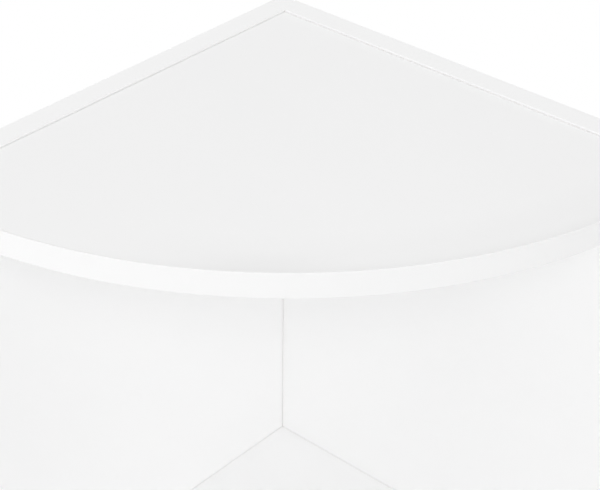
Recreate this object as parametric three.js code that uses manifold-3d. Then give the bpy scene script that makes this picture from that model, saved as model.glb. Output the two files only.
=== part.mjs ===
// Corner shelf unit: two side panels that meet in the corner of a room, and quarter-round shelves between them.
// The boards are white faced chipboard with edge bands glued on. They butt against each other, lined up by
// wooden dowels and pulled together by countersunk connecting screws with a hex socket.
//
// Millimetres, +Z up. The origin is on the floor in the middle of the footprint. Seen from the front, which is
// from +X -Y, the right panel lies along the back and runs through to the outer corner, and the left panel
// butts against it.

import Module from 'manifold-3d';
import * as THREE from 'three';
import { mergeVertices, toCreasedNormals } from 'three/addons/utils/BufferGeometryUtils.js';

// Unit. The shelves are spread evenly between the two set distances from the ends of the panels.
const unitHeight = 1000;
const shelfRadius = 290; // from the inner corner to the round front
const levelNames = ['bottom', 'lower', 'upper', 'top'];
const topShelfDrop = 1.4; // from the panels' top edges down to the top shelf
const bottomShelfLift = 1.4; // from the floor up to the bottom shelf

// Boards
const boardThickness = 15;
const jointGap = 0.2; // hairline between boards that butt

// Edge bands
const bandThickness = 1;
const bandRounding = 0.6; // radius of a band's two outer corners
const glueLine = 0.1; // between a band and its board

// Places of the screws and dowels
const rearScrewInset = 61; // from the inner corner to the rear screw of a shelf
const frontScrewInset = 37; // from a panel's front edge to the front screw of a shelf
const cornerDowelLift = 64; // from a screw in the corner joint up to its dowel

// Connecting screws. The thread is drawn plain, at its outer diameter.
const screwLength = 50;
const headDiameter = 9.6;
const headRim = 0.6; // straight side of the head above its cone
const headRecess = 0.5; // head below the panel's outer face
const threadDiameter = 6.3;
const shoulderStep = 0.35; // the plain shoulder's radius over the thread's
const shoulderEnd = 1.5; // the shoulder ends this far inside the panel
const pilotDiameter = 4.4; // blunt end that leads the thread into its bore
const pilotLength = 4;
const socketWidth = 4; // across the flats
const socketDepth = 3;
const screwClearance = 0.15; // all round, in both boards
const screwEndRoom = 2; // bore beyond the screw's end

// Dowels
const dowelDiameter = 8;
const dowelLength = 30;
const dowelChamfer = 1;
const dowelInPanel = 9; // the part of a dowel that sits in the panel's face
const dowelClearance = 0.15;
const dowelEndRoom = 1; // bore beyond each end

// Facets
const arcSegments = 48; // of the round front
const roundSegments = 1; // of a band's corner, doubled by the curve
const turnedSegments = 12; // of screws, dowels and their bores
const creaseAngle = Math.PI / 6;

const cutOverrun = 1; // cutting solids reach this far past a face

const bandRoom = bandThickness + glueLine;
const reach = shelfRadius + boardThickness; // side of the square footprint
const shelfPitch =
  (unitHeight - topShelfDrop - bottomShelfLift - boardThickness) / (levelNames.length - 1);
const levels = levelNames.map((name, i) => ({ name, bottom: bottomShelfLift + i * shelfPitch }));
const rearRow = rearScrewInset;
const frontRow = shelfRadius - frontScrewInset;
const middleRow = (rearRow + frontRow) / 2;

const headRadius = headDiameter / 2;
const threadRadius = threadDiameter / 2;
const shoulderRadius = threadRadius + shoulderStep;
const pilotRadius = pilotDiameter / 2;
const dowelRadius = dowelDiameter / 2;

const xAxis = new THREE.Vector3(1, 0, 0);
const yAxis = new THREE.Vector3(0, 1, 0);
const zAxis = new THREE.Vector3(0, 0, 1);

// All boards are placed from the inner corner. A screw goes inward through a panel, and rows run forward on it.
const sides = {
  left: { inward: xAxis, forward: yAxis.clone().negate() },
  right: { inward: yAxis.clone().negate(), forward: xAxis },
};

const board = new THREE.MeshStandardMaterial({ color: 0xf2f2f1, roughness: 0.45, metalness: 0 });
const edgeBand = new THREE.MeshStandardMaterial({ color: 0xf5f5f5, roughness: 0.35, metalness: 0 });
const zincPlate = new THREE.MeshStandardMaterial({ color: 0xb8bbbf, roughness: 0.35, metalness: 1 });
const beech = new THREE.MeshStandardMaterial({ color: 0xd8b88a, roughness: 0.8, metalness: 0 });

const wasm = await Module();
wasm.setup();

// A closed geometry as a solid that can be cut, moved to its place first.
function solidOf(geometry, place = new THREE.Matrix4()) {
  const bare = geometry.clone().applyMatrix4(place);
  bare.deleteAttribute('normal');
  bare.deleteAttribute('uv');
  const closed = mergeVertices(bare);
  return new wasm.Manifold(
    new wasm.Mesh({
      numProp: 3,
      vertProperties: new Float32Array(closed.attributes.position.array),
      triVerts: new Uint32Array(closed.index.array),
    }),
  );
}

function geometryOf(solid) {
  const { vertProperties, triVerts } = solid.getMesh();
  const geometry = new THREE.BufferGeometry();
  geometry.setAttribute('position', new THREE.BufferAttribute(vertProperties, 3));
  geometry.setIndex(new THREE.BufferAttribute(triVerts, 1));
  return toCreasedNormals(geometry, creaseAngle);
}

// A turned piece about +Z, from [radius, depth] pairs that start and end on the axis, or close on themselves.
function turned(profile, segments) {
  const points = profile.map(([radius, depth]) => new THREE.Vector2(radius, depth));
  return new THREE.LatheGeometry(points, segments).rotateX(Math.PI / 2);
}

// A place whose local Z runs along one way and whose local X faces another.
function placeAlong(along, facing, origin) {
  const across = new THREE.Vector3().crossVectors(along, facing);
  return new THREE.Matrix4().makeBasis(facing, across, along).setPosition(origin);
}

// A band's section: X points out of the edge and Y runs across the board's thickness.
function bandSection(back) {
  const face = back + bandThickness;
  const low = bandRounding;
  const high = boardThickness - bandRounding;
  return new THREE.Shape()
    .moveTo(back, 0)
    .lineTo(face - bandRounding, 0)
    .absarc(face - bandRounding, low, bandRounding, -Math.PI / 2, 0, false)
    .lineTo(face, high)
    .absarc(face - bandRounding, high, bandRounding, 0, Math.PI / 2, false)
    .lineTo(back, boardThickness)
    .lineTo(back, 0);
}

function straightBand(length) {
  return new THREE.ExtrudeGeometry(bandSection(-bandThickness), {
    depth: length,
    bevelEnabled: false,
    curveSegments: roundSegments,
  });
}

// A full ring of band, of which the quarter between the two panels is kept.
function curvedBand() {
  const section = bandSection(shelfRadius - bandThickness).getPoints(roundSegments);
  const ring = turned(section.map((p) => [p.x, p.y]), 4 * arcSegments);
  const side = shelfRadius + cutOverrun;
  const height = boardThickness + 2 * cutOverrun;
  const quarter = new THREE.BoxGeometry(side, side, height);
  quarter.translate(jointGap + side / 2, -jointGap - side / 2, boardThickness / 2);
  return geometryOf(solidOf(ring).intersect(solidOf(quarter)));
}

function quarterBoard() {
  const radius = shelfRadius - bandRoom;
  const gapAngle = Math.asin(jointGap / radius);
  const outline = new THREE.Shape()
    .absarc(0, 0, radius, -gapAngle, gapAngle - Math.PI / 2, true)
    .lineTo(jointGap, -jointGap)
    .closePath();
  return new THREE.ExtrudeGeometry(outline, {
    depth: boardThickness,
    bevelEnabled: false,
    curveSegments: arcSegments / 2,
  });
}

// An upright board between two corners of its plan, with room for the band on its top edge.
function uprightBoard(lowX, highX, lowY, highY) {
  const height = unitHeight - bandRoom;
  const geometry = new THREE.BoxGeometry(highX - lowX, highY - lowY, height);
  return geometry.translate((lowX + highX) / 2, (lowY + highY) / 2, height / 2);
}

function connectingScrew() {
  const coneEnd = headRim + headRadius - shoulderRadius;
  const shoulderDepth = boardThickness - headRecess - shoulderEnd;
  const threadEnd = screwLength - pilotLength;
  const body = turned(
    [
      [0, 0],
      [headRadius, 0],
      [headRadius, headRim],
      [shoulderRadius, coneEnd],
      [shoulderRadius, shoulderDepth],
      [threadRadius, shoulderDepth + shoulderStep],
      [threadRadius, threadEnd - (threadRadius - pilotRadius)],
      [pilotRadius, threadEnd],
      [pilotRadius, screwLength],
      [0, screwLength],
    ],
    turnedSegments,
  );
  const socketRadius = socketWidth / 2 / Math.cos(Math.PI / 6);
  const socketHeight = socketDepth + cutOverrun;
  const socket = new THREE.CylinderGeometry(socketRadius, socketRadius, socketHeight, 6);
  socket.rotateX(Math.PI / 2).translate(0, 0, socketHeight / 2 - cutOverrun);
  return geometryOf(solidOf(body).subtract(solidOf(socket)));
}

// What is drilled for a screw, measured from the panel's outer face: countersink, clearance hole and edge bore.
function screwDrilling() {
  const coneStart = headRecess + headRim;
  const joint = boardThickness + jointGap / 2;
  const end = headRecess + screwLength + screwEndRoom;
  return turned(
    [
      [0, -cutOverrun],
      [headRadius + screwClearance, -cutOverrun],
      [headRadius + screwClearance, coneStart],
      [shoulderRadius + screwClearance, coneStart + headRadius - shoulderRadius],
      [shoulderRadius + screwClearance, joint],
      [threadRadius + screwClearance, joint],
      [threadRadius + screwClearance, end],
      [0, end],
    ],
    turnedSegments,
  );
}

function dowel() {
  return turned(
    [
      [0, 0],
      [dowelRadius - dowelChamfer, 0],
      [dowelRadius, dowelChamfer],
      [dowelRadius, dowelLength - dowelChamfer],
      [dowelRadius - dowelChamfer, dowelLength],
      [0, dowelLength],
    ],
    turnedSegments,
  );
}

// The two facing bores of a dowel, measured from the panel's outer face.
function dowelDrilling() {
  const start = boardThickness - dowelInPanel;
  const end = start + dowelLength;
  const radius = dowelRadius + dowelClearance;
  return turned(
    [
      [0, start - dowelEndRoom],
      [radius, start - dowelEndRoom],
      [radius, end + dowelEndRoom],
      [0, end + dowelEndRoom],
    ],
    turnedSegments,
  );
}

const screwKind = {
  geometry: connectingScrew(),
  drilling: screwDrilling(),
  depth: headRecess,
  material: zincPlate,
};
const dowelKind = {
  geometry: dowel(),
  drilling: dowelDrilling(),
  depth: boardThickness - dowelInPanel,
  material: beech,
};

// A fastening starts on a panel's outer face, at a row measured forward from the inner corner.
function fastening(name, kind, side, row, height) {
  const { inward, forward } = sides[side];
  const onFace = (depth) =>
    placeAlong(
      inward,
      zAxis,
      new THREE.Vector3()
        .addScaledVector(inward, depth - boardThickness)
        .addScaledVector(forward, row)
        .addScaledVector(zAxis, height),
    );
  return { name, side, kind, drillPlace: onFace(0), piecePlace: onFace(kind.depth) };
}

// Two screws and a dowel join a shelf to each panel.
function shelfFastenings(name, bottom) {
  const height = bottom + boardThickness / 2;
  return Object.keys(sides).flatMap((side) => [
    fastening(`${name}_shelf_${side}_rear_screw`, screwKind, side, rearRow, height),
    fastening(`${name}_shelf_${side}_dowel`, dowelKind, side, middleRow, height),
    fastening(`${name}_shelf_${side}_front_screw`, screwKind, side, frontRow, height),
  ]);
}

// In every bay, one screw and one dowel join the right panel to the back edge of the left panel.
function cornerFastenings() {
  const row = -boardThickness / 2;
  return levels.slice(1).flatMap(({ name, bottom }, i) => {
    const middle = (levels[i].bottom + boardThickness + bottom) / 2;
    return [
      fastening(`corner_screw_under_${name}`, screwKind, 'right', row, middle),
      fastening(`corner_dowel_under_${name}`, dowelKind, 'right', row, middle + cornerDowelLift),
    ];
  });
}

function drilled(geometry, fastenings) {
  const holes = fastenings.map(({ kind, drillPlace }) => solidOf(kind.drilling, drillPlace));
  return geometryOf(holes.reduce((solid, hole) => solid.subtract(hole), solidOf(geometry)));
}

// The inner corner of the two panels, on the floor.
const unit = new THREE.Group();
const corner = new THREE.Group();
corner.position.set(boardThickness - reach / 2, reach / 2 - boardThickness, 0);
unit.add(corner);

function addPiece(name, geometry, material, place = new THREE.Matrix4()) {
  const mesh = new THREE.Mesh(geometry, material.clone());
  mesh.name = name;
  mesh.applyMatrix4(place);
  corner.add(mesh);
}

const inShelves = levels.flatMap(({ name, bottom }) => shelfFastenings(name, bottom));
const inCorner = cornerFastenings();
const inSide = (side) => [...inShelves.filter((f) => f.side === side), ...inCorner];

const leftBoard = uprightBoard(-boardThickness, 0, bandRoom - shelfRadius, -jointGap);
const rightBoard = uprightBoard(bandRoom - boardThickness, shelfRadius - bandRoom, 0, boardThickness);
addPiece('left_panel', drilled(leftBoard, inSide('left')), board);
addPiece('right_panel', drilled(rightBoard, inSide('right')), board);

// Upright bands stand the full height. The top bands lie between them.
function addUprightBand(name, facing, x, y) {
  const place = placeAlong(zAxis, facing, new THREE.Vector3(x, y, 0));
  addPiece(name, straightBand(unitHeight), edgeBand, place);
}
addUprightBand('left_panel_front_band', sides.left.forward, -boardThickness, -shelfRadius);
addUprightBand('right_panel_front_band', sides.right.forward, shelfRadius, 0);
addUprightBand('right_panel_back_band', xAxis.clone().negate(), -boardThickness, boardThickness);

function addTopBand(name, along, start, length) {
  const place = placeAlong(along, zAxis, start);
  addPiece(name, straightBand(length), edgeBand, place);
}
const leftTopStart = new THREE.Vector3(-boardThickness, bandRoom - shelfRadius, unitHeight);
const rightTopStart = new THREE.Vector3(shelfRadius - bandRoom, 0, unitHeight);
const leftTopLength = shelfRadius - bandRoom - jointGap;
addTopBand('left_panel_top_band', yAxis, leftTopStart, leftTopLength);
addTopBand('right_panel_top_band', xAxis.clone().negate(), rightTopStart, reach - 2 * bandRoom);

const shelfGeometry = drilled(quarterBoard(), shelfFastenings('any', 0));
const shelfBandGeometry = curvedBand();
for (const { name, bottom } of levels) {
  const place = new THREE.Matrix4().makeTranslation(0, 0, bottom);
  addPiece(`${name}_shelf`, shelfGeometry, board, place);
  addPiece(`${name}_shelf_front_band`, shelfBandGeometry, edgeBand, place);
}

for (const { name, kind, piecePlace } of [...inShelves, ...inCorner]) {
  addPiece(name, kind.geometry, kind.material, piecePlace);
}

export default unit;
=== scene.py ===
"""Corner shelf unit: two side panels, four quarter-round shelves, their edge bands, screws and dowels.

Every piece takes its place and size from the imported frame. Metres, +Z up. The shelves' round fronts face
+X -Y, the right panel lies along +Y and the left panel along -X.
"""

import math

import bmesh
import bpy
from bpy.props import FloatProperty, FloatVectorProperty, PointerProperty
from bpy.types import Operator, Panel, PropertyGroup
from mathutils import Matrix, Vector


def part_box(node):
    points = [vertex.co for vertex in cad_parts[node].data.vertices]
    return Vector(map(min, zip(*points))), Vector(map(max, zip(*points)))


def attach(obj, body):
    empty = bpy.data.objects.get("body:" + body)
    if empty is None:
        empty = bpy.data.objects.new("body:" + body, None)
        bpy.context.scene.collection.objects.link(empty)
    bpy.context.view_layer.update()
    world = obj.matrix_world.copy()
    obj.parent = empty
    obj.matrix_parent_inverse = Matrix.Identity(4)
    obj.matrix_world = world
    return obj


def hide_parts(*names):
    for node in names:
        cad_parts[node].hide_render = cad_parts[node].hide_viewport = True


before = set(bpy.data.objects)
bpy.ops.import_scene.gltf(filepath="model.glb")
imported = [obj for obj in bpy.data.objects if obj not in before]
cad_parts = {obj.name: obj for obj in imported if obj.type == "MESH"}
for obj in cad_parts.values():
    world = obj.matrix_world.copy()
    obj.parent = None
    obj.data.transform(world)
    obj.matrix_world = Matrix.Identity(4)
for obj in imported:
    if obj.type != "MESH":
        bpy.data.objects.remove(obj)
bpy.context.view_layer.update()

bl_info = {
    "name": "Corner Shelf Unit",
    "version": (1, 0, 0),
    "blender": (4, 5, 0),
    "location": "View3D > Sidebar > Shelf Unit",
    "description": "Dresses a corner shelf unit of faced chipboard, piece by piece",
    "category": "Object",
}

MM = 0.001

PANELS = ("left_panel", "right_panel")
SHELVES = ("bottom_shelf", "lower_shelf", "upper_shelf", "top_shelf")
INNER_SHELVES = SHELVES[:-1]
SHELF_BANDS = tuple(f"{shelf}_front_band" for shelf in SHELVES)
PANEL_BANDS = (
    "left_panel_front_band",
    "right_panel_front_band",
    "right_panel_back_band",
    "left_panel_top_band",
    "right_panel_top_band",
)
SCREWS = sorted(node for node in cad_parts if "_screw" in node)
DOWELS = sorted(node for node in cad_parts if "_dowel" in node)

# The upright line where the inner faces of the two panels meet.
CORNER = Vector((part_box("left_panel")[1].x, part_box("right_panel")[0].y, 0))
SHELF_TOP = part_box("top_shelf")[1].z
PANEL_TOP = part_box("right_panel_top_band")[1].z
# The thickness of a board and of an edge band, and the gap that the frame leaves between them.
BOARD = SHELF_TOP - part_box("top_shelf")[0].z
BAND = PANEL_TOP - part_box("right_panel_top_band")[0].z
BOARD_TO_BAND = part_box("right_panel_top_band")[0].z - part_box("right_panel")[1].z

# Straight pieces that follow the round front, on a board and on its band alike.
FRONT_STEPS = 192
# How far a cutter runs out over the face that it cuts.
OVERRUN = 1.0 * MM
# The places of a board's two materials.
FOIL = 0
RAW = 1
# Edges that turn by more than this stay crisp.
CRISP_ANGLE = math.radians(28)
CRISP_ANGLE_ON_SCREWS = math.radians(35)


# Sizes and colours


class ShelfUnitSizes(PropertyGroup):
    """Small sizes of the finish, which the frame leaves plain"""

    arris: FloatProperty(
        name="Arris",
        description="Bevel on the raw cut edges of a board",
        default=0.05 * MM,
        unit="LENGTH",
        precision=6,
    )
    joint: FloatProperty(
        name="Joint",
        description="Gap left between a shelf and a panel",
        default=0.09 * MM,
        unit="LENGTH",
        precision=6,
    )
    glue_line: FloatProperty(
        name="Glue line",
        description="Glue left between a board and its band",
        default=0.02 * MM,
        unit="LENGTH",
        precision=6,
    )
    band_rounding: FloatProperty(
        name="Band rounding",
        description="Radius milled on the outer corners of an edge band",
        default=0.3 * MM,
        unit="LENGTH",
        precision=6,
    )
    thread_pitch: FloatProperty(
        name="Thread pitch",
        description="Rise of a screw's thread in a turn",
        default=3.0 * MM,
        unit="LENGTH",
        precision=5,
    )
    thread_height: FloatProperty(
        name="Thread height",
        description="Height of the thread over its core",
        default=0.9 * MM,
        unit="LENGTH",
        precision=5,
    )
    groove_depth: FloatProperty(
        name="Groove depth",
        description="Depth of the grooves along a dowel",
        default=0.25 * MM,
        unit="LENGTH",
        precision=6,
    )


class ShelfUnitFinish(PropertyGroup):
    """Colours of the materials, some painted lighter or darker to stand in for light, and the faint
    painted shade laid on them
    """

    facing: FloatVectorProperty(
        name="Facing",
        description="White foil on the panels and the top shelf",
        subtype="COLOR",
        size=3,
        default=(0.93, 0.93, 0.93),
    )
    # The inner shelves' white is painted lighter than the facing, to stand in for light that reaches them
    # less.
    inner_facing: FloatVectorProperty(
        name="Inner facing",
        description="White foil on the shelves below the top one",
        subtype="COLOR",
        size=3,
        default=(0.952, 0.952, 0.952),
    )
    # One band plastic in two whites: painted lighter on the panels and darker on the round fronts, to
    # stand in for light.
    panel_band: FloatVectorProperty(
        name="Panel band",
        description="White plastic band on the panels",
        subtype="COLOR",
        size=3,
        default=(0.95, 0.95, 0.95),
    )
    shelf_band: FloatVectorProperty(
        name="Shelf band",
        description="White plastic band on the round fronts",
        subtype="COLOR",
        size=3,
        default=(0.88, 0.88, 0.88),
    )
    # Painted shade toward a shelf's round front, with a painted patch of shade near the middle of the
    # front.
    wear: FloatProperty(
        name="Wear",
        description="How much the foil greys at a shelf's front edge",
        default=0.055,
        subtype="FACTOR",
    )
    worn_width: FloatProperty(
        name="Worn width",
        description="Width of the greyed strip at a shelf's front edge",
        default=34.0 * MM,
        unit="LENGTH",
    )
    smudge: FloatProperty(
        name="Smudge",
        description="How much a smudge greys the foil near the front",
        default=0.03,
        subtype="FACTOR",
    )
    smudge_angle: FloatProperty(
        name="Smudge angle",
        description="Place of the smudge, turned from the right panel",
        subtype="ANGLE",
        default=math.radians(50.5),
    )
    smudge_turn: FloatProperty(
        name="Smudge turn",
        description="Half of the smudge's width",
        subtype="ANGLE",
        default=math.radians(10.5),
    )
    # Painted shade in the inner corners: along the panels' joint, just above each inner shelf, and on the
    # inner shelves beside the panels.
    joint_dust: FloatProperty(
        name="Joint dust",
        description="How much dust greys the inner joints",
        default=0.03,
        subtype="FACTOR",
    )
    dust_width: FloatProperty(
        name="Dust width",
        description="Width of that greyed strip",
        default=2.0 * MM,
        unit="LENGTH",
        precision=5,
    )
    # Painted shade on the step that the panels make above the top shelf.
    step_dust: FloatProperty(
        name="Step dust",
        description="How much dust greys the step above the top shelf",
        default=0.068,
        subtype="FACTOR",
    )
    core: FloatVectorProperty(
        name="Chipboard core",
        description="Mean colour of the raw chipboard",
        subtype="COLOR",
        size=3,
        default=(0.5, 0.37, 0.23),
    )
    zinc: FloatVectorProperty(
        name="Zinc plating",
        description="Plating of the screws",
        subtype="COLOR",
        size=3,
        default=(0.74, 0.75, 0.77),
    )
    beech: FloatVectorProperty(
        name="Beech",
        description="Wood of the dowels",
        subtype="COLOR",
        size=3,
        default=(0.72, 0.52, 0.33),
    )


class ShelfUnitStage(PropertyGroup):
    """Camera and light of the studio"""

    lens: FloatProperty(
        name="Lens",
        description="Focal length in millimetres",
        default=106.7,
        unit="CAMERA",
    )
    eye: FloatVectorProperty(
        name="Camera place",
        description="Where the camera stands",
        subtype="XYZ",
        unit="LENGTH",
        size=3,
        default=(0.528836, -0.610289, 1.47722),
    )
    look: FloatVectorProperty(
        name="Camera direction",
        description="Where the camera looks",
        subtype="DIRECTION",
        size=3,
        default=(-0.550948, 0.632219, -0.544753),
    )
    roll: FloatProperty(
        name="Camera roll",
        description="Turn of the camera about its view",
        subtype="ANGLE",
        default=math.radians(0.669),
    )
    world: FloatProperty(
        name="World",
        description="Strength of the even light from all round",
        default=0.5,
    )
    camera_side: FloatProperty(
        name="Camera side",
        description="Power of the main lamp, on the camera's side",
        default=234.0,
        subtype="POWER",
    )
    front: FloatProperty(
        name="Front",
        description="Power of the lamp in front",
        default=10.0,
        subtype="POWER",
    )
    high_left: FloatProperty(
        name="High left",
        description="Power of the high lamp on the left",
        default=48.0,
        subtype="POWER",
    )
    right: FloatProperty(
        name="Right",
        description="Power of the lamp on the right",
        default=21.0,
        subtype="POWER",
    )
    behind: FloatProperty(
        name="Behind",
        description="Power of the high lamp behind",
        default=50.0,
        subtype="POWER",
    )
    low_left: FloatProperty(
        name="Low left",
        description="Power of the low lamp near by on the left",
        default=4.8,
        subtype="POWER",
    )
    low_behind: FloatProperty(
        name="Low behind",
        description="Power of the low lamp near by behind",
        default=9.0,
        subtype="POWER",
    )


def sizes():
    return bpy.context.scene.shelf_unit_sizes


def finish():
    return bpy.context.scene.shelf_unit_finish


def stage():
    return bpy.context.scene.shelf_unit_stage


# Materials

PURE_WHITE = (1.0, 1.0, 1.0)
# Refraction of the foil's and the bands' plastic.
PLASTIC_IOR = 1.49


class Nodes:
    """Builds one material's node tree with short calls. Noise scales count features in a metre.

    A material that is there already is built again, so that a changed colour shows.
    """

    def __init__(self, name):
        self.material = bpy.data.materials.get(name) or bpy.data.materials.new(name)
        self.material.use_nodes = True
        self.tree = self.material.node_tree
        self.tree.nodes.clear()
        self.shader = self.add("ShaderNodeBsdfPrincipled")
        self.out = self.add("ShaderNodeOutputMaterial")
        self.link(self.shader.outputs["BSDF"], self.out.inputs["Surface"])
        self.place = self.add("ShaderNodeTexCoord").outputs["Object"]

    def add(self, kind, **values):
        node = self.tree.nodes.new(kind)
        for key, value in values.items():
            setattr(node, key, value)
        return node

    def link(self, source, target):
        self.tree.links.new(source, target)

    def give(self, value, socket):
        """Links a socket's value, or sets a plain one."""
        if isinstance(value, bpy.types.NodeSocket):
            self.link(value, socket)
        else:
            socket.default_value = value

    def set(self, **values):
        """Gives values to the shader's own sockets."""
        for name, value in values.items():
            self.give(value, self.shader.inputs[name.replace("_", " ")])

    def axis(self, name):
        node = self.add("ShaderNodeSeparateXYZ")
        self.link(self.place, node.inputs["Vector"])
        return node.outputs[name]

    def stretched(self, scale):
        node = self.add("ShaderNodeMapping")
        node.inputs["Scale"].default_value = scale
        self.link(self.place, node.inputs["Vector"])
        return node.outputs["Vector"]

    def noise(self, scale, detail=2.0, roughness=0.5, place=None):
        node = self.add("ShaderNodeTexNoise")
        node.inputs["Scale"].default_value = scale
        node.inputs["Detail"].default_value = detail
        node.inputs["Roughness"].default_value = roughness
        self.link(place or self.place, node.inputs["Vector"])
        return node.outputs["Fac"]

    def ramp(self, source, stops):
        node = self.add("ShaderNodeValToRGB")
        elements = node.color_ramp.elements
        while len(elements) < len(stops):
            elements.new(0.5)
        for element, (at, colour) in zip(elements, stops):
            element.position = at
            element.color = (*colour, 1.0)
        self.link(source, node.inputs["Fac"])
        return node.outputs["Color"]

    def spread(self, source, low, high):
        node = self.add("ShaderNodeMapRange")
        node.inputs["To Min"].default_value = low
        node.inputs["To Max"].default_value = high
        self.link(source, node.inputs["Value"])
        return node.outputs["Result"]

    def fade(self, source, start, end, eased=True):
        """0 at the start and 1 at the end, eased at both ends or straight."""
        node = self.add("ShaderNodeMapRange", interpolation_type="SMOOTHSTEP" if eased else "LINEAR")
        node.inputs["From Min"].default_value = start
        node.inputs["From Max"].default_value = end
        self.link(source, node.inputs["Value"])
        return node.outputs["Result"]

    def maths(self, operation, first, second=0.0):
        node = self.add("ShaderNodeMath", operation=operation)
        self.give(first, node.inputs[0])
        self.give(second, node.inputs[1])
        return node.outputs["Value"]

    def product(self, first, *others):
        for other in others:
            first = self.maths("MULTIPLY", first, other)
        return first

    def distance(self, value, place):
        return self.maths("ABSOLUTE", self.maths("SUBTRACT", value, place))

    def multiplied(self, colour, by):
        node = self.add("ShaderNodeMix", data_type="RGBA", blend_type="MULTIPLY")
        node.inputs["Factor"].default_value = 1.0
        self.link(colour, node.inputs["A"])
        self.link(by, node.inputs["B"])
        return node.outputs["Result"]

    def bump(self, height, distance, strength):
        node = self.add("ShaderNodeBump")
        node.inputs["Distance"].default_value = distance
        node.inputs["Strength"].default_value = strength
        self.link(height, node.inputs["Height"])
        return node.outputs["Normal"]


def tones(colour, factors):
    """Ramp stops from a colour and (place, factor) pairs."""
    return [(at, tuple(channel * factor for channel in colour)) for at, factor in factors]


def clouded(nodes, white, scale, detail):
    """The faintest cloudiness in a white."""
    cloud = nodes.noise(scale=scale, detail=detail)
    return nodes.ramp(cloud, tones(white, ((0.3, 0.996), (0.7, 1.004))))


def behind_panels(nodes):
    """How far a point lies behind the left panel's inner face, and how far behind the right one's."""
    behind_left = nodes.maths("SUBTRACT", CORNER.x, nodes.axis("X"))
    behind_right = nodes.maths("SUBTRACT", nodes.axis("Y"), CORNER.y)
    return behind_left, behind_right


def behind_nearest_panel(nodes):
    """How far a point lies behind the nearer panel's inner face. It is negative in front of both."""
    return nodes.maths("MAXIMUM", *behind_panels(nodes))


def painted_darker(nodes, colour, share, mask):
    """Greys a colour by a share where the mask is 1, as painted shade."""
    grey = nodes.ramp(mask, tones(PURE_WHITE, ((0.0, 1.0), (1.0, 1.0 - share))))
    return nodes.multiplied(colour, grey)


def painted_shade_beside_panels(nodes, colour):
    """Painted shade along the panels, on a shelf that lies inside. The top shelf gets none."""
    near = nodes.fade(behind_nearest_panel(nodes), -finish().dust_width, 0.0)
    return painted_darker(nodes, colour, finish().joint_dust, near)


def painted_shade_in_corners(nodes, colour):
    """Painted shade on the panels' inner faces, along their joint and just above each shelf inside."""
    width = finish().dust_width
    height = nodes.axis("Z")
    near = nodes.fade(nodes.maths("MINIMUM", *behind_panels(nodes)), -width, 0.0)
    for shelf in INNER_SHELVES:
        from_shelf = nodes.distance(height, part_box(shelf)[1].z)
        near = nodes.maths("MAXIMUM", near, nodes.fade(from_shelf, width, 0.0))
    on_inner_face = nodes.maths("LESS_THAN", behind_nearest_panel(nodes), sizes().joint)
    below_top_shelf = nodes.maths("LESS_THAN", height, SHELF_TOP - BOARD)
    mask = nodes.product(near, on_inner_face, below_top_shelf)
    return painted_darker(nodes, colour, finish().joint_dust, mask)


def painted_shade_in_step(nodes, colour):
    """Painted shade on the inner side of the low step that the panels make above the top shelf."""
    step = PANEL_TOP - SHELF_TOP
    depth_shares = (0.3, 0.1)
    height_shares = (0.05, 0.3)
    height = nodes.axis("Z")
    inner = nodes.fade(behind_nearest_panel(nodes), *(share * step for share in depth_shares))
    low = nodes.fade(height, *(PANEL_TOP - share * step for share in height_shares))
    near_shelf = nodes.maths("GREATER_THAN", height, SHELF_TOP - step)
    return painted_darker(nodes, colour, finish().step_dust, nodes.product(inner, low, near_shelf))


def painted_shade_at_front(nodes, colour):
    """Painted shade: greys a shelf's foil toward its round front.

    The painted shade fades out beside the left panel, and a soft painted patch of shade lies across the
    front near its middle.
    """
    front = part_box("top_shelf")[1].x - CORNER.x
    width = finish().worn_width
    # How far in from the front, as a share of the shaded width, and how much painted shade lies there.
    front_shade_shares = (
        (0.0, 1.0),
        (0.09, 0.66),
        (0.14, 0.48),
        (0.26, 0.36),
        (0.55, 0.26),
        (0.75, 0.14),
        (1.0, 0.0),
    )
    unshaded_to_shaded_shares = (0.28, 0.6)
    shade_patch_shares = (0.55, 0.2)

    behind_left, behind_right = behind_panels(nodes)
    across = nodes.maths("MULTIPLY", behind_left, -1.0)
    along = nodes.maths("MULTIPLY", behind_right, -1.0)
    squares = [nodes.product(side, side) for side in (across, along)]
    reach = nodes.maths("SQRT", nodes.maths("ADD", *squares))

    from_front = nodes.fade(reach, front, front - width, eased=False)
    from_left = nodes.fade(across, *(share * front for share in unshaded_to_shaded_shares))
    front_shaded = nodes.product(nodes.ramp(from_front, tones(PURE_WHITE, front_shade_shares)), from_left)

    from_shade_patch = nodes.distance(nodes.maths("ARCTAN2", along, across), finish().smudge_angle)
    patch_shaded = nodes.product(
        nodes.fade(from_shade_patch, finish().smudge_turn, 0.0),
        nodes.fade(reach, *(front - share * width for share in shade_patch_shares)),
    )
    colour = painted_darker(nodes, colour, finish().wear, front_shaded)
    return painted_darker(nodes, colour, finish().smudge, patch_shaded)


def facing_material(board):
    """White foil: a fine pearl in the surface, the faintest cloudiness and painted shade; on the inner
    shelves a white painted lighter.
    """
    white = finish().facing
    if board in PANELS:
        nodes = Nodes("panel_facing")
        marks = (painted_shade_in_corners, painted_shade_in_step)
    elif board in INNER_SHELVES:
        nodes = Nodes("inner_shelf_facing")
        marks = (painted_shade_at_front, painted_shade_beside_panels)
        # The inner shelves' white is painted lighter, to stand in for light.
        white = finish().inner_facing
    else:
        nodes = Nodes("top_shelf_facing")
        marks = (painted_shade_at_front,)
    colour = clouded(nodes, white, scale=9.0, detail=3.0)
    for mark in marks:
        colour = mark(nodes, colour)
    pearl = nodes.noise(scale=1700.0, detail=2.0, roughness=0.6)
    nodes.set(
        Base_Color=colour,
        Roughness=nodes.spread(nodes.noise(scale=35.0, detail=4.0), low=0.34, high=0.46),
        Normal=nodes.bump(pearl, distance=0.06 * MM, strength=1.0),
        IOR=PLASTIC_IOR,
    )
    return nodes.material


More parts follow.
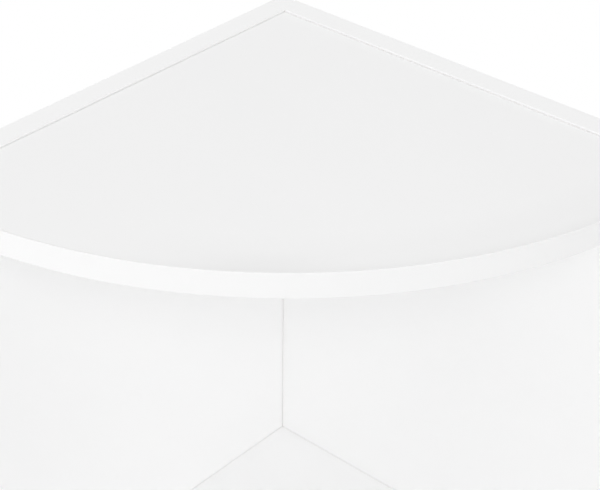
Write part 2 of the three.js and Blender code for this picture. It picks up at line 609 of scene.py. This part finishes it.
def core_material():
    """Raw chipboard: pressed chips of several browns."""
    nodes = Nodes("chipboard_core")
    chips = nodes.add("ShaderNodeTexVoronoi")
    chips.inputs["Scale"].default_value = 420.0
    nodes.link(nodes.place, chips.inputs["Vector"])
    chip = nodes.add("ShaderNodeSeparateColor")
    nodes.link(chips.outputs["Color"], chip.inputs["Color"])
    browns = tones(finish().core, ((0.0, 0.55), (0.45, 1.0), (0.8, 1.35), (1.0, 1.6)))
    nodes.set(
        Base_Color=nodes.ramp(chip.outputs["Red"], browns),
        Roughness=nodes.spread(nodes.noise(scale=300.0), low=0.8, high=0.95),
        Normal=nodes.bump(chips.outputs["Distance"], distance=0.4 * MM, strength=0.6),
    )
    return nodes.material


def band_material(on_shelf):
    """Plastic band: fine drawn lines along its length and an even satin. The same plastic is painted
    lighter on the panels and darker on the round fronts, and carries painted shade on the step.
    """
    nodes = Nodes("white_shelf_band" if on_shelf else "white_panel_band")
    white = finish().shelf_band if on_shelf else finish().panel_band
    colour = clouded(nodes, white, scale=14.0, detail=2.0)
    if not on_shelf:
        # Painted shade on the step above the top shelf.
        colour = painted_shade_in_step(nodes, colour)
    drawn = nodes.noise(scale=900.0, detail=2.0, place=nodes.stretched((0.05, 0.05, 1.0)))
    nodes.set(
        Base_Color=colour,
        Roughness=nodes.spread(nodes.noise(scale=60.0, detail=3.0), low=0.36, high=0.44),
        Normal=nodes.bump(drawn, distance=0.006 * MM, strength=0.4),
        IOR=PLASTIC_IOR,
    )
    return nodes.material


def zinc_material():
    """Bright zinc plating over turned steel, with a faint straw cast."""
    nodes = Nodes("zinc_plated_steel")
    red, green, blue = finish().zinc
    straw = (red * 1.02, green, blue * 0.9)
    cast = nodes.noise(scale=220.0, detail=2.0)
    rings = nodes.noise(scale=2600.0, detail=1.0, place=nodes.stretched((0.15, 0.15, 1.0)))
    nodes.set(
        Base_Color=nodes.ramp(cast, [(0.35, (red, green, blue)), (0.75, straw)]),
        Metallic=1.0,
        Roughness=nodes.spread(nodes.noise(scale=500.0, detail=3.0), low=0.26, high=0.42),
        Normal=nodes.bump(rings, distance=0.01 * MM, strength=0.5),
    )
    return nodes.material


def beech_material():
    """Beech: pale pink brown, straight grain along the dowel with short dark flecks."""
    nodes = Nodes("beech_wood")
    grain = nodes.noise(scale=650.0, detail=4.0, place=nodes.stretched((1.0, 1.0, 0.06)))
    flecks = nodes.noise(scale=1500.0, detail=1.0, place=nodes.stretched((1.0, 1.0, 0.12)))
    nodes.set(
        Base_Color=nodes.ramp(grain, tones(finish().beech, ((0.3, 0.8), (0.55, 1.0), (0.75, 1.15)))),
        Roughness=nodes.spread(flecks, low=0.55, high=0.75),
        Normal=nodes.bump(flecks, distance=0.03 * MM, strength=0.5),
    )
    return nodes.material


# Mesh tools


def new_object(name, bm, materials=()):
    """Makes an object of a finished mesh, its faces turned out."""
    mesh = bpy.data.meshes.new(name)
    bmesh.ops.recalc_face_normals(bm, faces=bm.faces)
    bm.to_mesh(mesh)
    bm.free()
    for material in materials:
        mesh.materials.append(material)
    obj = bpy.data.objects.new(name, mesh)
    bpy.context.scene.collection.objects.link(obj)
    return obj


def shade_rounds(mesh, crisp_angle):
    """Shades the rounds smooth and keeps the sharper edges crisp."""
    mesh.shade_smooth()
    mesh.set_sharp_from_angle(angle=crisp_angle)


def keep_flats(obj):
    """Keeps a flat face beside a round from looking bent."""
    weighted = obj.modifiers.new("flat_faces_stay_flat", "WEIGHTED_NORMAL")
    weighted.keep_sharp = True


def smooth(obj):
    shade_rounds(obj.data, CRISP_ANGLE)
    keep_flats(obj)


def stand_for(obj, node):
    """Puts a piece in a node's place. The whole unit is one body."""
    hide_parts(node)
    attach(obj, "root")
    return obj


def subtract(obj, cutters):
    """Cuts closed meshes out of a piece for good."""
    cut = obj.modifiers.new("bores", "BOOLEAN")
    cut.operation = "DIFFERENCE"
    cut.solver = "EXACT"
    cut.object = cutters
    graph = bpy.context.evaluated_depsgraph_get()
    result = bpy.data.meshes.new_from_object(obj.evaluated_get(graph))
    obj.modifiers.clear()
    old, obj.data = obj.data, result
    result.name = old.name
    bpy.data.meshes.remove(old)
    used = cutters.data
    bpy.data.objects.remove(cutters)
    bpy.data.meshes.remove(used)


def full_turn(steps):
    return [2 * math.pi * i / steps for i in range(steps)]


def join_rings(bm, rings):
    """Closes the faces between rings of points, of which the first and last may be a single point."""
    faces = []
    for low, high in zip(rings, rings[1:]):
        count = max(len(low), len(high))
        for i in range(count):
            j = (i + 1) % count
            corners = [low[i % len(low)], low[j % len(low)], high[j % len(high)], high[i % len(high)]]
            corners = [v for k, v in enumerate(corners) if v not in corners[:k]]
            faces.append(bm.faces.new(corners))
    return faces


def revolve(bm, profile, segments, place=Matrix()):
    """A closed turned body about Z, from (radius, depth) pairs between two points on the axis."""
    rings = []
    for radius, depth in profile:
        turn = full_turn(segments) if radius else [0.0]
        points = [Vector((radius * math.cos(a), radius * math.sin(a), depth)) for a in turn]
        rings.append([bm.verts.new(place @ point) for point in points])
    return join_rings(bm, rings)


def prism(outline, low, high):
    """An upright prism on a plan outline."""
    bm = bmesh.new()
    floor = [bm.verts.new((x, y, low)) for x, y in outline]
    roof = [bm.verts.new((x, y, high)) for x, y in outline]
    bm.faces.new(roof)
    bm.faces.new(floor[::-1])
    for i in range(len(outline)):
        j = (i + 1) % len(outline)
        bm.faces.new([floor[i], floor[j], roof[j], roof[i]])
    return bm


def bevel_raw_edges(bm, is_raw):
    """Takes the sharpness off the edges whose middle lies on a raw cut."""
    edges = [e for e in bm.edges if is_raw((e.verts[0].co + e.verts[1].co) / 2)]
    bmesh.ops.bevel(bm, geom=edges, offset=sizes().arris, segments=1, affect="EDGES", clamp_overlap=True)


def swept(section, frames):
    """Sweeps a closed section of (out, across) pairs through frames that turn such a pair into a point."""
    bm = bmesh.new()
    loops = [[bm.verts.new(at(out, across)) for out, across in section] for at in frames]
    count = len(section)
    for low, high in zip(loops, loops[1:]):
        for i in range(count):
            j = (i + 1) % count
            bm.faces.new([low[i], low[j], high[j], high[i]])
    bm.faces.new(loops[0][::-1])
    bm.faces.new(loops[-1])
    return bm


def band_section(thickness, width, steps=5):
    """A band's section from its glued back at 0 out to its face, with both outer corners rounded."""
    rounding = sizes().band_rounding
    points = [(0.0, 0.0)]
    for centre, start in ((rounding, -math.pi / 2), (width - rounding, 0.0)):
        for i in range(steps + 1):
            a = start + math.pi / 2 * i / steps
            points.append((thickness - rounding + rounding * math.cos(a), centre + rounding * math.sin(a)))
    return points + [(0.0, width)]


# Bores


def drill_place(node):
    """Where a screw or dowel lies: local Z runs inward from the outer end, and local X is up."""
    low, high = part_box(node)
    size = high - low
    middle = (low + high) / 2
    if size.x > size.y:
        inward = Vector((1, 0, 0))
        outer_end = Vector((low.x, middle.y, middle.z))
    else:
        inward = Vector((0, -1, 0))
        outer_end = Vector((middle.x, high.y, middle.z))
    up = Vector((0, 0, 1))
    turn = Matrix((up, inward.cross(up), inward)).transposed().to_4x4()
    return Matrix.Translation(outer_end) @ turn


class ScrewShape:
    """A connecting screw's radii and lengths, and the room round it. Depths start at its head."""

    def __init__(self):
        low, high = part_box(SCREWS[0])
        _, head_width, self.length = sorted(high - low)
        self.head = head_width / 2
        self.rim = 0.6 * MM
        self.shoulder = 3.5 * MM
        self.thread = 3.15 * MM
        self.pilot = 2.2 * MM
        self.pilot_length = 4.0 * MM
        self.chamfer = 0.15 * MM
        self.room = 0.15 * MM
        self.room_at_end = 2.0 * MM
        shoulder_to_joint = 1.5 * MM
        self.recess = CORNER.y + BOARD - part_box("top_shelf_right_rear_screw")[1].y
        self.cone_end = self.rim + self.head - self.shoulder
        self.shoulder_end = BOARD - self.recess - shoulder_to_joint


def screw_bore(bm, node):
    """A stepped bore: countersink and shoulder bore in the panel, smaller bore in the next board."""
    shape = ScrewShape()
    past_panel = 0.1 * MM
    over_face = -shape.recess - OVERRUN
    step = BOARD - shape.recess + past_panel
    bore_end = shape.length + shape.room_at_end
    profile = [
        (0, over_face),
        (shape.head + shape.room, over_face),
        (shape.head + shape.room, shape.rim),
        (shape.shoulder + shape.room, shape.cone_end),
        (shape.shoulder + shape.room, step),
        (shape.thread + shape.room, step),
        (shape.thread + shape.room, bore_end),
        (0, bore_end),
    ]
    return revolve(bm, profile, segments=40, place=drill_place(node))


def dowel_bore(bm, node):
    """A bore a little wider than its dowel and longer at both ends."""
    room = 0.15 * MM
    room_at_end = 1.0 * MM
    low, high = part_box(node)
    width, _, length = sorted(high - low)
    radius = width / 2 + room
    bore_end = length + room_at_end
    profile = [(0, -room_at_end), (radius, -room_at_end), (radius, bore_end), (0, bore_end)]
    return revolve(bm, profile, segments=32, place=drill_place(node))


def overlaps(node, board):
    """Whether a fastener's box reaches into a board's box."""
    (low, high), (board_low, board_high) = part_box(node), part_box(board)
    return all(low[i] < board_high[i] and high[i] > board_low[i] for i in range(3))


def bores_in(board):
    """All the bores that a board holds, as one object of cutters that leave raw walls."""
    bm = bmesh.new()
    for fasteners, bore in ((SCREWS, screw_bore), (DOWELS, dowel_bore)):
        for node in fasteners:
            if overlaps(node, board):
                for face in bore(bm, node):
                    face.material_index = RAW
    return new_object(f"{board}_bores", bm)


# Pieces


def finished_board(node, bm, facing_axis):
    """A drilled board. Its faces square to an axis, and the small bevels round them, are foil.

    A bevel's normal has a share of 0.7 along that axis, and a raw edge's has none.
    """
    least_foil_share = 0.3
    obj = new_object(f"{node}_board", bm, [facing_material(node), core_material()])
    stand_for(obj, node)
    for polygon in obj.data.polygons:
        polygon.material_index = FOIL if abs(polygon.normal[facing_axis]) > least_foil_share else RAW
    subtract(obj, bores_in(node))
    smooth(obj)


def finished_band(node, section, frames, on_shelf):
    """A band swept from its section, with its rounded corners smooth."""
    obj = new_object(f"{node}_strip", swept(section, frames), [band_material(on_shelf)])
    smooth(obj)
    stand_for(obj, node)


class SHELFUNIT_OT_side_panels(Operator):
    """Adds the two side panels, faced on both sides, with every bore that they hold"""

    bl_idname = "shelf_unit.side_panels"
    bl_label = "Side Panels"

    def execute(self, context):
        # Each banded edge reaches out to its glue line.
        to_band = BOARD_TO_BAND - sizes().glue_line
        for node in PANELS:
            low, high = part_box(node)
            thin_axis = min((0, 1), key=lambda axis: high[axis] - low[axis])
            high.z += to_band
            if node == "left_panel":
                low.y -= to_band
            else:
                low.x -= to_band
                high.x += to_band
            outline = [(low.x, low.y), (high.x, low.y), (high.x, high.y), (low.x, high.y)]
            bm = prism(outline, low.z, high.z)
            bevel_raw_edges(bm, lambda middle: middle.z < low.z + BOARD)
            finished_board(node, bm, thin_axis)
        return {"FINISHED"}


def front_angles(radius, gap):
    """Directions from the corner along a round front that ends at a gap from both panels."""
    start = math.asin(gap / radius)
    return [-start - (math.pi / 2 - 2 * start) * i / FRONT_STEPS for i in range(FRONT_STEPS + 1)]


def from_corner(radius, angle):
    """A place in plan, at a radius and an angle from the corner."""
    return CORNER.x + radius * math.cos(angle), CORNER.y + radius * math.sin(angle)


def quarter_outline(radius, gap):
    """The plan of a shelf: two straight edges off the panels and the round front."""
    front = [from_corner(radius, angle) for angle in front_angles(radius, gap)]
    return front[::-1] + [(CORNER.x + gap, CORNER.y - gap)]


class SHELFUNIT_OT_shelves(Operator):
    """Adds the quarter-round shelves, faced above and below, with the bores in their straight edges"""

    bl_idname = "shelf_unit.shelves"
    bl_label = "Shelves"

    def execute(self, context):
        for node in SHELVES:
            low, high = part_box(node)
            # The box ends where the round edge ends, at the frame's gap from the panel.
            edge_radius = math.hypot(high.x - CORNER.x, low.x - CORNER.x)
            radius = edge_radius + BOARD_TO_BAND - sizes().glue_line
            bm = prism(quarter_outline(radius, sizes().joint), low.z, high.z)
            bevel_raw_edges(bm, lambda middle: (middle - CORNER).xy.length < radius - BOARD)
            finished_board(node, bm, facing_axis=2)
        return {"FINISHED"}


class SHELFUNIT_OT_shelf_bands(Operator):
    """Adds the bent bands on the round fronts of the shelves"""

    bl_idname = "shelf_unit.shelf_bands"
    bl_label = "Shelf Bands"

    def execute(self, context):
        for node in SHELF_BANDS:
            low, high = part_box(node)
            face = high.x - CORNER.x

            def frame_at(angle):
                def at(out, across):
                    return (*from_corner(face - BAND + out, angle), low.z + across)

                return at

            frames = [frame_at(angle) for angle in front_angles(face, low.x - CORNER.x)]
            finished_band(node, band_section(BAND, high.z - low.z), frames, on_shelf=True)
        return {"FINISHED"}


def straight_band(node):
    """A band on a straight edge, its face turned outward and its back on the board."""
    low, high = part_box(node)
    size = high - low
    long_axis = max(range(3), key=lambda i: size[i])
    out_axis = min(range(3), key=lambda i: size[i])
    wide_axis = 3 - long_axis - out_axis
    centre = (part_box("left_panel")[0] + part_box("right_panel")[1]) / 2
    faces_out = (low[out_axis] + high[out_axis]) / 2 > centre[out_axis]

    def frame_at(along):
        def at(out, across):
            point = Vector((0, 0, 0))
            point[out_axis] = low[out_axis] + out if faces_out else high[out_axis] - out
            point[wide_axis] = low[wide_axis] + across
            point[long_axis] = along
            return point

        return at

    frames = [frame_at(low[long_axis]), frame_at(high[long_axis])]
    finished_band(node, band_section(size[out_axis], size[wide_axis]), frames, on_shelf=False)


class SHELFUNIT_OT_panel_bands(Operator):
    """Adds the straight bands on the upright and top edges of the panels"""

    bl_idname = "shelf_unit.panel_bands"
    bl_label = "Panel Bands"

    def execute(self, context):
        for node in PANEL_BANDS:
            straight_band(node)
        return {"FINISHED"}


def put_in_bores(mesh, fasteners, ending):
    """Puts a copy of a fastener in each of its bores. The copies share one mesh."""
    copies = []
    for node in fasteners:
        copy = bpy.data.objects.new(f"{node}_{ending}", mesh)
        bpy.context.scene.collection.objects.link(copy)
        copy.matrix_world = drill_place(node)
        copies.append(stand_for(copy, node))
    return copies


def screw_mesh():
    """One connecting screw: countersunk head, plain shoulder, coarse thread and blunt end."""
    shape = ScrewShape()
    columns = 32
    rows_in_pitch = 12
    # Half of the ridge's width, as a share of the pitch.
    ridge_share = 0.3
    below_shoulder = 0.6 * MM
    above_pilot = 0.4 * MM
    pitch = sizes().thread_pitch
    height = sizes().thread_height
    start = shape.shoulder_end + below_shoulder
    end = shape.length - shape.pilot_length - above_pilot
    rows = round((end - start) / pitch * rows_in_pitch)
    bm = bmesh.new()

    def ring(radius_at, depth):
        turn = [(a, radius_at(a)) for a in full_turn(columns)]
        return [bm.verts.new((radius * math.cos(a), radius * math.sin(a), depth)) for a, radius in turn]

    def plain(radius, depth):
        return ring(lambda angle: radius, depth)

    def threaded(depth):
        run_out = max(0.0, min(1.0, (depth - start) / pitch, (end - depth) / pitch))

        def radius_at(angle):
            phase = (depth / pitch - angle / (2 * math.pi)) % 1.0
            ridge = max(0.0, 1.0 - abs(phase - 0.5) / ridge_share)
            return shape.thread - height + height * run_out * ridge * ridge * (3 - 2 * ridge)

        return ring(radius_at, depth)

    rings = [
        [bm.verts.new((0, 0, 0))],
        plain(shape.head - shape.chamfer, 0),
        plain(shape.head, shape.chamfer),
        plain(shape.head, shape.rim),
        plain(shape.shoulder, shape.cone_end),
        plain(shape.shoulder, shape.shoulder_end),
    ]
    rings += [threaded(start + (end - start) * i / rows) for i in range(rows + 1)]
    rings += [
        plain(shape.pilot, shape.length - shape.pilot_length),
        plain(shape.pilot, shape.length - shape.chamfer),
        plain(shape.pilot - shape.chamfer, shape.length),
        [bm.verts.new((0, 0, shape.length))],
    ]
    join_rings(bm, rings)
    return bm


def socket_cutter():
    """A hex socket with a drilled point at its bottom and a chamfered mouth."""
    sides = 6
    across_flats = 4.0 * MM
    depth = 3.0 * MM
    point = 0.8 * MM
    chamfer = 0.25 * MM
    radius = across_flats / 2 / math.cos(math.pi / sides)
    mouth = radius + chamfer
    profile = [
        (0, -OVERRUN),
        (mouth, -OVERRUN),
        (mouth, 0),
        (radius, chamfer),
        (radius, depth),
        (0, depth + point),
    ]
    bm = bmesh.new()
    revolve(bm, profile, segments=sides)
    return new_object("socket_cutter", bm)


class SHELFUNIT_OT_screws(Operator):
    """Adds the connecting screws, zinc plated, with a hex socket and a coarse thread"""

    bl_idname = "shelf_unit.screws"
    bl_label = "Screws"

    def execute(self, context):
        first = new_object("connecting_screw", screw_mesh(), [zinc_material()])
        subtract(first, socket_cutter())
        mesh = first.data
        mesh.name = "connecting_screw"
        bpy.data.objects.remove(first)
        shade_rounds(mesh, CRISP_ANGLE_ON_SCREWS)
        for screw in put_in_bores(mesh, SCREWS, "turned"):
            keep_flats(screw)
        return {"FINISHED"}


def dowel_mesh(radius, length):
    """One dowel with grooves along it and chamfered ends."""
    grooves = 20
    steps_in_groove = 4
    chamfer = 1.0 * MM
    bm = bmesh.new()

    def ring(outer, depth, groove=0.0):
        points = []
        for i, a in enumerate(full_turn(grooves * steps_in_groove)):
            out = outer - groove if i % steps_in_groove == 0 else outer
            points.append(bm.verts.new((out * math.cos(a), out * math.sin(a), depth)))
        return points

    rings = [
        [bm.verts.new((0, 0, 0))],
        ring(radius - chamfer, 0),
        ring(radius, chamfer, sizes().groove_depth),
        ring(radius, length - chamfer, sizes().groove_depth),
        ring(radius - chamfer, length),
        [bm.verts.new((0, 0, length))],
    ]
    join_rings(bm, rings)
    return bm


class SHELFUNIT_OT_dowels(Operator):
    """Adds the grooved beech dowels between the boards"""

    bl_idname = "shelf_unit.dowels"
    bl_label = "Dowels"

    def execute(self, context):
        low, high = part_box(DOWELS[0])
        width, _, length = sorted(high - low)
        first = new_object("grooved_dowel", dowel_mesh(width / 2, length), [beech_material()])
        mesh = first.data
        bpy.data.objects.remove(first)
        put_in_bores(mesh, DOWELS, "grooved")
        return {"FINISHED"}


# Stage

FLOOR_RADIUS = 12.0
FLOOR_COLOUR = (0.82, 0.82, 0.82, 1.0)
# Where the floor starts to turn from its own shade to plain white, and where it is white.
FLOOR_FADE = (0.5, 1.8)
LAMP_AIM = Vector((0.0, 0.0, 0.9))
# Azimuth and elevation in degrees, distance from the aim and width in metres.
LAMPS = {
    "camera_side": (44, 28, 7.5, 4.0),
    "front": (-12, 28, 6.0, 3.2),
    "high_left": (-40, 46, 6.0, 3.2),
    "right": (100, 12, 6.0, 3.2),
    "behind": (221, 55, 6.0, 3.2),
    "low_left": (-40, -10, 2.0, 1.0),
    "low_behind": (225, -12, 2.5, 1.0),
}


def seen_rays(tree):
    """1 for the rays that show a surface to the camera, straight or in a mirror or glass."""
    path = tree.nodes.new("ShaderNodeLightPath")
    seen = path.outputs["Is Camera Ray"]
    for ray in ("Is Glossy Ray", "Is Transmission Ray"):
        either = tree.nodes.new("ShaderNodeMath")
        either.operation = "MAXIMUM"
        tree.links.new(seen, either.inputs[0])
        tree.links.new(path.outputs[ray], either.inputs[1])
        seen = either.outputs["Value"]
    return seen


def floor_material():
    """Pale floor that keeps the shadow near the unit and is seen as plain white away from it."""
    nodes = Nodes("pale_floor")
    nodes.set(Base_Color=FLOOR_COLOUR, Roughness=0.9, Specular_IOR_Level=0.1)
    distance = nodes.add("ShaderNodeVectorMath", operation="LENGTH")
    nodes.link(nodes.place, distance.inputs[0])
    away = nodes.fade(distance.outputs["Value"], *FLOOR_FADE)
    white = nodes.add("ShaderNodeEmission")
    mix = nodes.add("ShaderNodeMixShader")
    nodes.link(nodes.product(away, seen_rays(nodes.tree)), mix.inputs["Fac"])
    nodes.link(nodes.shader.outputs["BSDF"], mix.inputs[1])
    nodes.link(white.outputs["Emission"], mix.inputs[2])
    nodes.link(mix.outputs["Shader"], nodes.out.inputs["Surface"])
    return nodes.material


def add_floor():
    bm = bmesh.new()
    bmesh.ops.create_circle(bm, cap_ends=True, radius=FLOOR_RADIUS, segments=96)
    new_object("studio_floor", bm, [floor_material()])


def add_lamp(name, azimuth, elevation, distance, size, power):
    """A round lamp turned to the aim. Azimuth 0 is in front, toward -Y, and 90 is toward +X."""
    a, e = math.radians(azimuth), math.radians(elevation)
    away = Vector((math.sin(a) * math.cos(e), -math.cos(a) * math.cos(e), math.sin(e)))
    data = bpy.data.lights.new(name, "AREA")
    data.shape = "DISK"
    data.size = size
    data.energy = power
    lamp = bpy.data.objects.new(name, data)
    bpy.context.scene.collection.objects.link(lamp)
    lamp.location = LAMP_AIM + distance * away
    lamp.rotation_mode = "QUATERNION"
    lamp.rotation_quaternion = (-away).to_track_quat("-Z", "Y")
    lamp.visible_camera = False


def add_world():
    """Even light from all round, which is seen as plain white."""
    world = bpy.data.worlds.new("studio")
    bpy.context.scene.world = world
    world.use_nodes = True
    tree = world.node_tree
    background = tree.nodes["Background"]
    background.inputs["Color"].default_value = (1.0, 1.0, 1.0, 1.0)
    mix = tree.nodes.new("ShaderNodeMix")
    mix.data_type = "FLOAT"
    mix.inputs["A"].default_value = stage().world
    mix.inputs["B"].default_value = 1.0
    tree.links.new(seen_rays(tree), mix.inputs["Factor"])
    tree.links.new(mix.outputs["Result"], background.inputs["Strength"])


def add_camera():
    data = bpy.data.cameras.new("camera")
    data.sensor_width = 36.0
    data.lens = stage().lens
    data.clip_start = 0.01
    data.clip_end = 100.0
    camera = bpy.data.objects.new("camera", data)
    bpy.context.scene.collection.objects.link(camera)
    camera.rotation_mode = "QUATERNION"
    look = Vector(stage().look).to_track_quat("-Z", "Y").to_matrix()
    turn = look @ Matrix.Rotation(stage().roll, 3, "Z")
    camera.matrix_world = Matrix.Translation(Vector(stage().eye)) @ turn.to_4x4()
    bpy.context.scene.camera = camera


class SHELFUNIT_OT_stage(Operator):
    """Adds the floor, the lamps, the world and the camera"""

    bl_idname = "shelf_unit.stage"
    bl_label = "Stage"

    def execute(self, context):
        add_floor()
        for name, place in LAMPS.items():
            add_lamp(f"{name}_lamp", *place, getattr(stage(), name))
        add_world()
        add_camera()
        context.scene.view_settings.view_transform = "Standard"
        return {"FINISHED"}


# Sidebar and running

SETTINGS = {
    "shelf_unit_sizes": ShelfUnitSizes,
    "shelf_unit_finish": ShelfUnitFinish,
    "shelf_unit_stage": ShelfUnitStage,
}
STEPS = (
    SHELFUNIT_OT_stage,
    SHELFUNIT_OT_side_panels,
    SHELFUNIT_OT_shelves,
    SHELFUNIT_OT_panel_bands,
    SHELFUNIT_OT_shelf_bands,
    SHELFUNIT_OT_screws,
    SHELFUNIT_OT_dowels,
)


class SHELFUNIT_PT_pieces(Panel):
    """Lists the steps that make the shelf unit, and its settings"""

    bl_label = "Shelf Unit"
    bl_idname = "SHELFUNIT_PT_pieces"
    bl_space_type = "VIEW_3D"
    bl_region_type = "UI"
    bl_category = "Shelf Unit"

    def draw(self, context):
        for operator in STEPS:
            self.layout.operator(operator.bl_idname)
        for name in SETTINGS:
            box = self.layout.box()
            group = getattr(context.scene, name)
            for key in group.__annotations__:
                box.prop(group, key)


CLASSES = (*SETTINGS.values(), *STEPS, SHELFUNIT_PT_pieces)


def register():
    for cls in CLASSES:
        bpy.utils.register_class(cls)
    for name, cls in SETTINGS.items():
        setattr(bpy.types.Scene, name, PointerProperty(type=cls))


def unregister():
    for name in SETTINGS:
        delattr(bpy.types.Scene, name)
    for cls in reversed(CLASSES):
        bpy.utils.unregister_class(cls)


def main():
    register()
    for operator in STEPS:
        group, step = operator.bl_idname.split(".")
        getattr(getattr(bpy.ops, group), step)()


if __name__ == "__main__":
    main()
